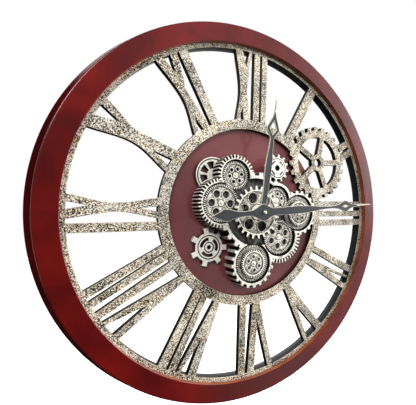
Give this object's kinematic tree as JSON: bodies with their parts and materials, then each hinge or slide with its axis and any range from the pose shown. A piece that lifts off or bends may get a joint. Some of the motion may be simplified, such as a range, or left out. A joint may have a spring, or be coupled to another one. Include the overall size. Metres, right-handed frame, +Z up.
{
  "type": "skeleton wall clock",
  "caption": "Large round skeleton wall clock: wooden rim, cut-out Roman numeral ring, back disc carrying a tub of meshed turning gears, and two hands.",
  "frame": {"origin": "dial centre on the wall plane, on the back face of the quartz movement's lid", "axes": "+X right and +Z up seen from the front, -Y out of the dial towards the room, +Y into the wall"},
  "size_m": [0.762, 0.0835, 0.762],
  "materials": {
    "rim_wood": "stained and lacquered, satin",
    "speckled_cream": "painted board, cream with dense dark speckle",
    "burgundy": "painted board, satin burgundy",
    "antique_silver": "antique silver paint rubbed over black",
    "slate_floor": "matt slate grey",
    "slate_hands": "matt slate paint with pale rubbed edges",
    "brass": "satin",
    "steel": "bright zinc",
    "black_plastic": "fine moulded texture",
    "black_paint": "matt black paint",
    "pale_plastic": "smooth",
    "cell_wrap": "plain printed sleeve, no text"
  },
  "bodies": {
    "clock": {"bush_nut": "brass", "dial_casting": "speckled_cream", "dial_disc": "burgundy", "disc_screw_1": "steel", "disc_screw_2": "steel", "disc_screw_3": "steel", "drive_battery": "cell_wrap", "drive_case": "black_plastic", "drive_lid": "black_plastic", "drive_motor": "steel", "frame_ring": "rim_wood", "gear_tub": "antique_silver", "hanger_plate": "steel", "hanger_screw_left": "brass", "hanger_screw_right": "brass", "movement_battery": "cell_wrap", "movement_case": "black_plastic", "movement_coil": "brass", "movement_lid": "black_plastic", "post_a": "brass", "post_b": "brass", "post_d": "brass", "post_e": "brass", "post_f": "brass", "post_g": "brass", "post_idler": "brass", "retaining_ring": "black_paint", "ring_screw_1": "brass", "ring_screw_2": "brass", "ring_screw_3": "brass", "ring_screw_4": "brass", "seven_tooth_gear": "antique_silver", "slotted_gear": "antique_silver", "spoked_wheel": "antique_silver", "threaded_bush": "brass", "train_plate": "slate_floor"},
    "gear_a": {"gear_a": "antique_silver"},
    "gear_b": {"gear_b": "antique_silver"},
    "gear_c": {"gear_c": "antique_silver", "centre_wheel": "antique_silver"},
    "gear_d": {"gear_d": "antique_silver"},
    "gear_e": {"gear_e": "antique_silver", "gear_e_front": "antique_silver"},
    "gear_f": {"gear_f": "antique_silver", "gear_f_front": "antique_silver"},
    "gear_g": {"gear_g": "antique_silver"},
    "idler": {"idler_pinion": "antique_silver"},
    "drive": {"drive_pinion": "antique_silver", "drive_shaft": "steel"},
    "minute": {"minute_hand": "slate_hands", "minute_shaft": "steel", "hand_nut": "brass"},
    "hour": {"hour_hand": "slate_hands", "hour_tube": "brass"},
    "motion": {"motion_wheel": "pale_plastic", "motion_pinion": "steel", "setting_knob": "black_plastic"},
    "door": {"battery_door": "black_plastic"},
    "switch": {"power_switch": "pale_plastic"}
  },
  "joints": [
    {"name": "gear_c_spin", "type": "hinge", "parent": "clock", "child": "gear_c", "pos_m": [0, -0.05, 0], "axis": [0, -1, 0], "continuous": true},
    {"name": "gear_a_spin", "type": "hinge", "parent": "clock", "child": "gear_a", "pos_m": [-0.04632, -0.0455, 0.07198], "axis": [0, -1, 0], "continuous": true},
    {"name": "gear_b_spin", "type": "hinge", "parent": "clock", "child": "gear_b", "pos_m": [-0.07695, -0.0455, 0.01762], "axis": [0, -1, 0], "continuous": true},
    {"name": "gear_d_spin", "type": "hinge", "parent": "clock", "child": "gear_d", "pos_m": [0.05582, -0.0455, -0.05162], "axis": [0, -1, 0], "continuous": true},
    {"name": "gear_e_spin", "type": "hinge", "parent": "clock", "child": "gear_e", "pos_m": [-0.0087, -0.0455, -0.10149], "axis": [0, -1, 0], "continuous": true},
    {"name": "gear_f_spin", "type": "hinge", "parent": "clock", "child": "gear_f", "pos_m": [0.10676, -0.0455, -0.00173], "axis": [0, -1, 0], "continuous": true},
    {"name": "gear_g_spin", "type": "hinge", "parent": "clock", "child": "gear_g", "pos_m": [0.05027, -0.0455, 0.02473], "axis": [0, -1, 0], "continuous": true},
    {"name": "idler_spin", "type": "hinge", "parent": "clock", "child": "idler", "pos_m": [-0.03537, -0.0455, 0.0081], "axis": [0, -1, 0], "continuous": true},
    {"name": "drive_spin", "type": "hinge", "parent": "clock", "child": "drive", "pos_m": [-0.00408, -0.0455, -0.04757], "axis": [0, -1, 0], "continuous": true},
    {"name": "minute_spin", "type": "hinge", "parent": "clock", "child": "minute", "pos_m": [0, -0.0785, 0], "axis": [0, -1, 0], "continuous": true},
    {"name": "hour_spin", "type": "hinge", "parent": "clock", "child": "hour", "pos_m": [0, -0.0725, 0], "axis": [0, -1, 0], "continuous": true},
    {"name": "setting_knob_spin", "type": "hinge", "parent": "clock", "child": "motion", "pos_m": [-0.00726, -0.0013, 0.01257], "axis": [0, -1, 0], "continuous": true},
    {"name": "battery_door_slide", "type": "slide", "parent": "clock", "child": "door", "axis": [0, 0, -1], "range_m": [0, 0.045]},
    {"name": "power_switch_slide", "type": "slide", "parent": "clock", "child": "switch", "axis": [1, 0, 0], "range_m": [0, 0.0042]}
  ],
  "couplings": [
    {"joint": "gear_a_spin", "follows": "gear_c_spin", "ratio": -1.0952},
    {"joint": "gear_b_spin", "follows": "gear_c_spin", "ratio": 0.82143},
    {"joint": "gear_d_spin", "follows": "gear_c_spin", "ratio": -0.82143},
    {"joint": "gear_e_spin", "follows": "gear_c_spin", "ratio": 0.82143},
    {"joint": "gear_f_spin", "follows": "gear_c_spin", "ratio": 0.82143},
    {"joint": "gear_g_spin", "follows": "gear_c_spin", "ratio": -1.0952},
    {"joint": "idler_spin", "follows": "gear_c_spin", "ratio": -4.1818},
    {"joint": "drive_spin", "follows": "gear_c_spin", "ratio": -1.5862},
    {"joint": "hour_spin", "follows": "minute_spin", "ratio": 0.083333},
    {"joint": "setting_knob_spin", "follows": "minute_spin", "ratio": -0.33333}
  ]
}
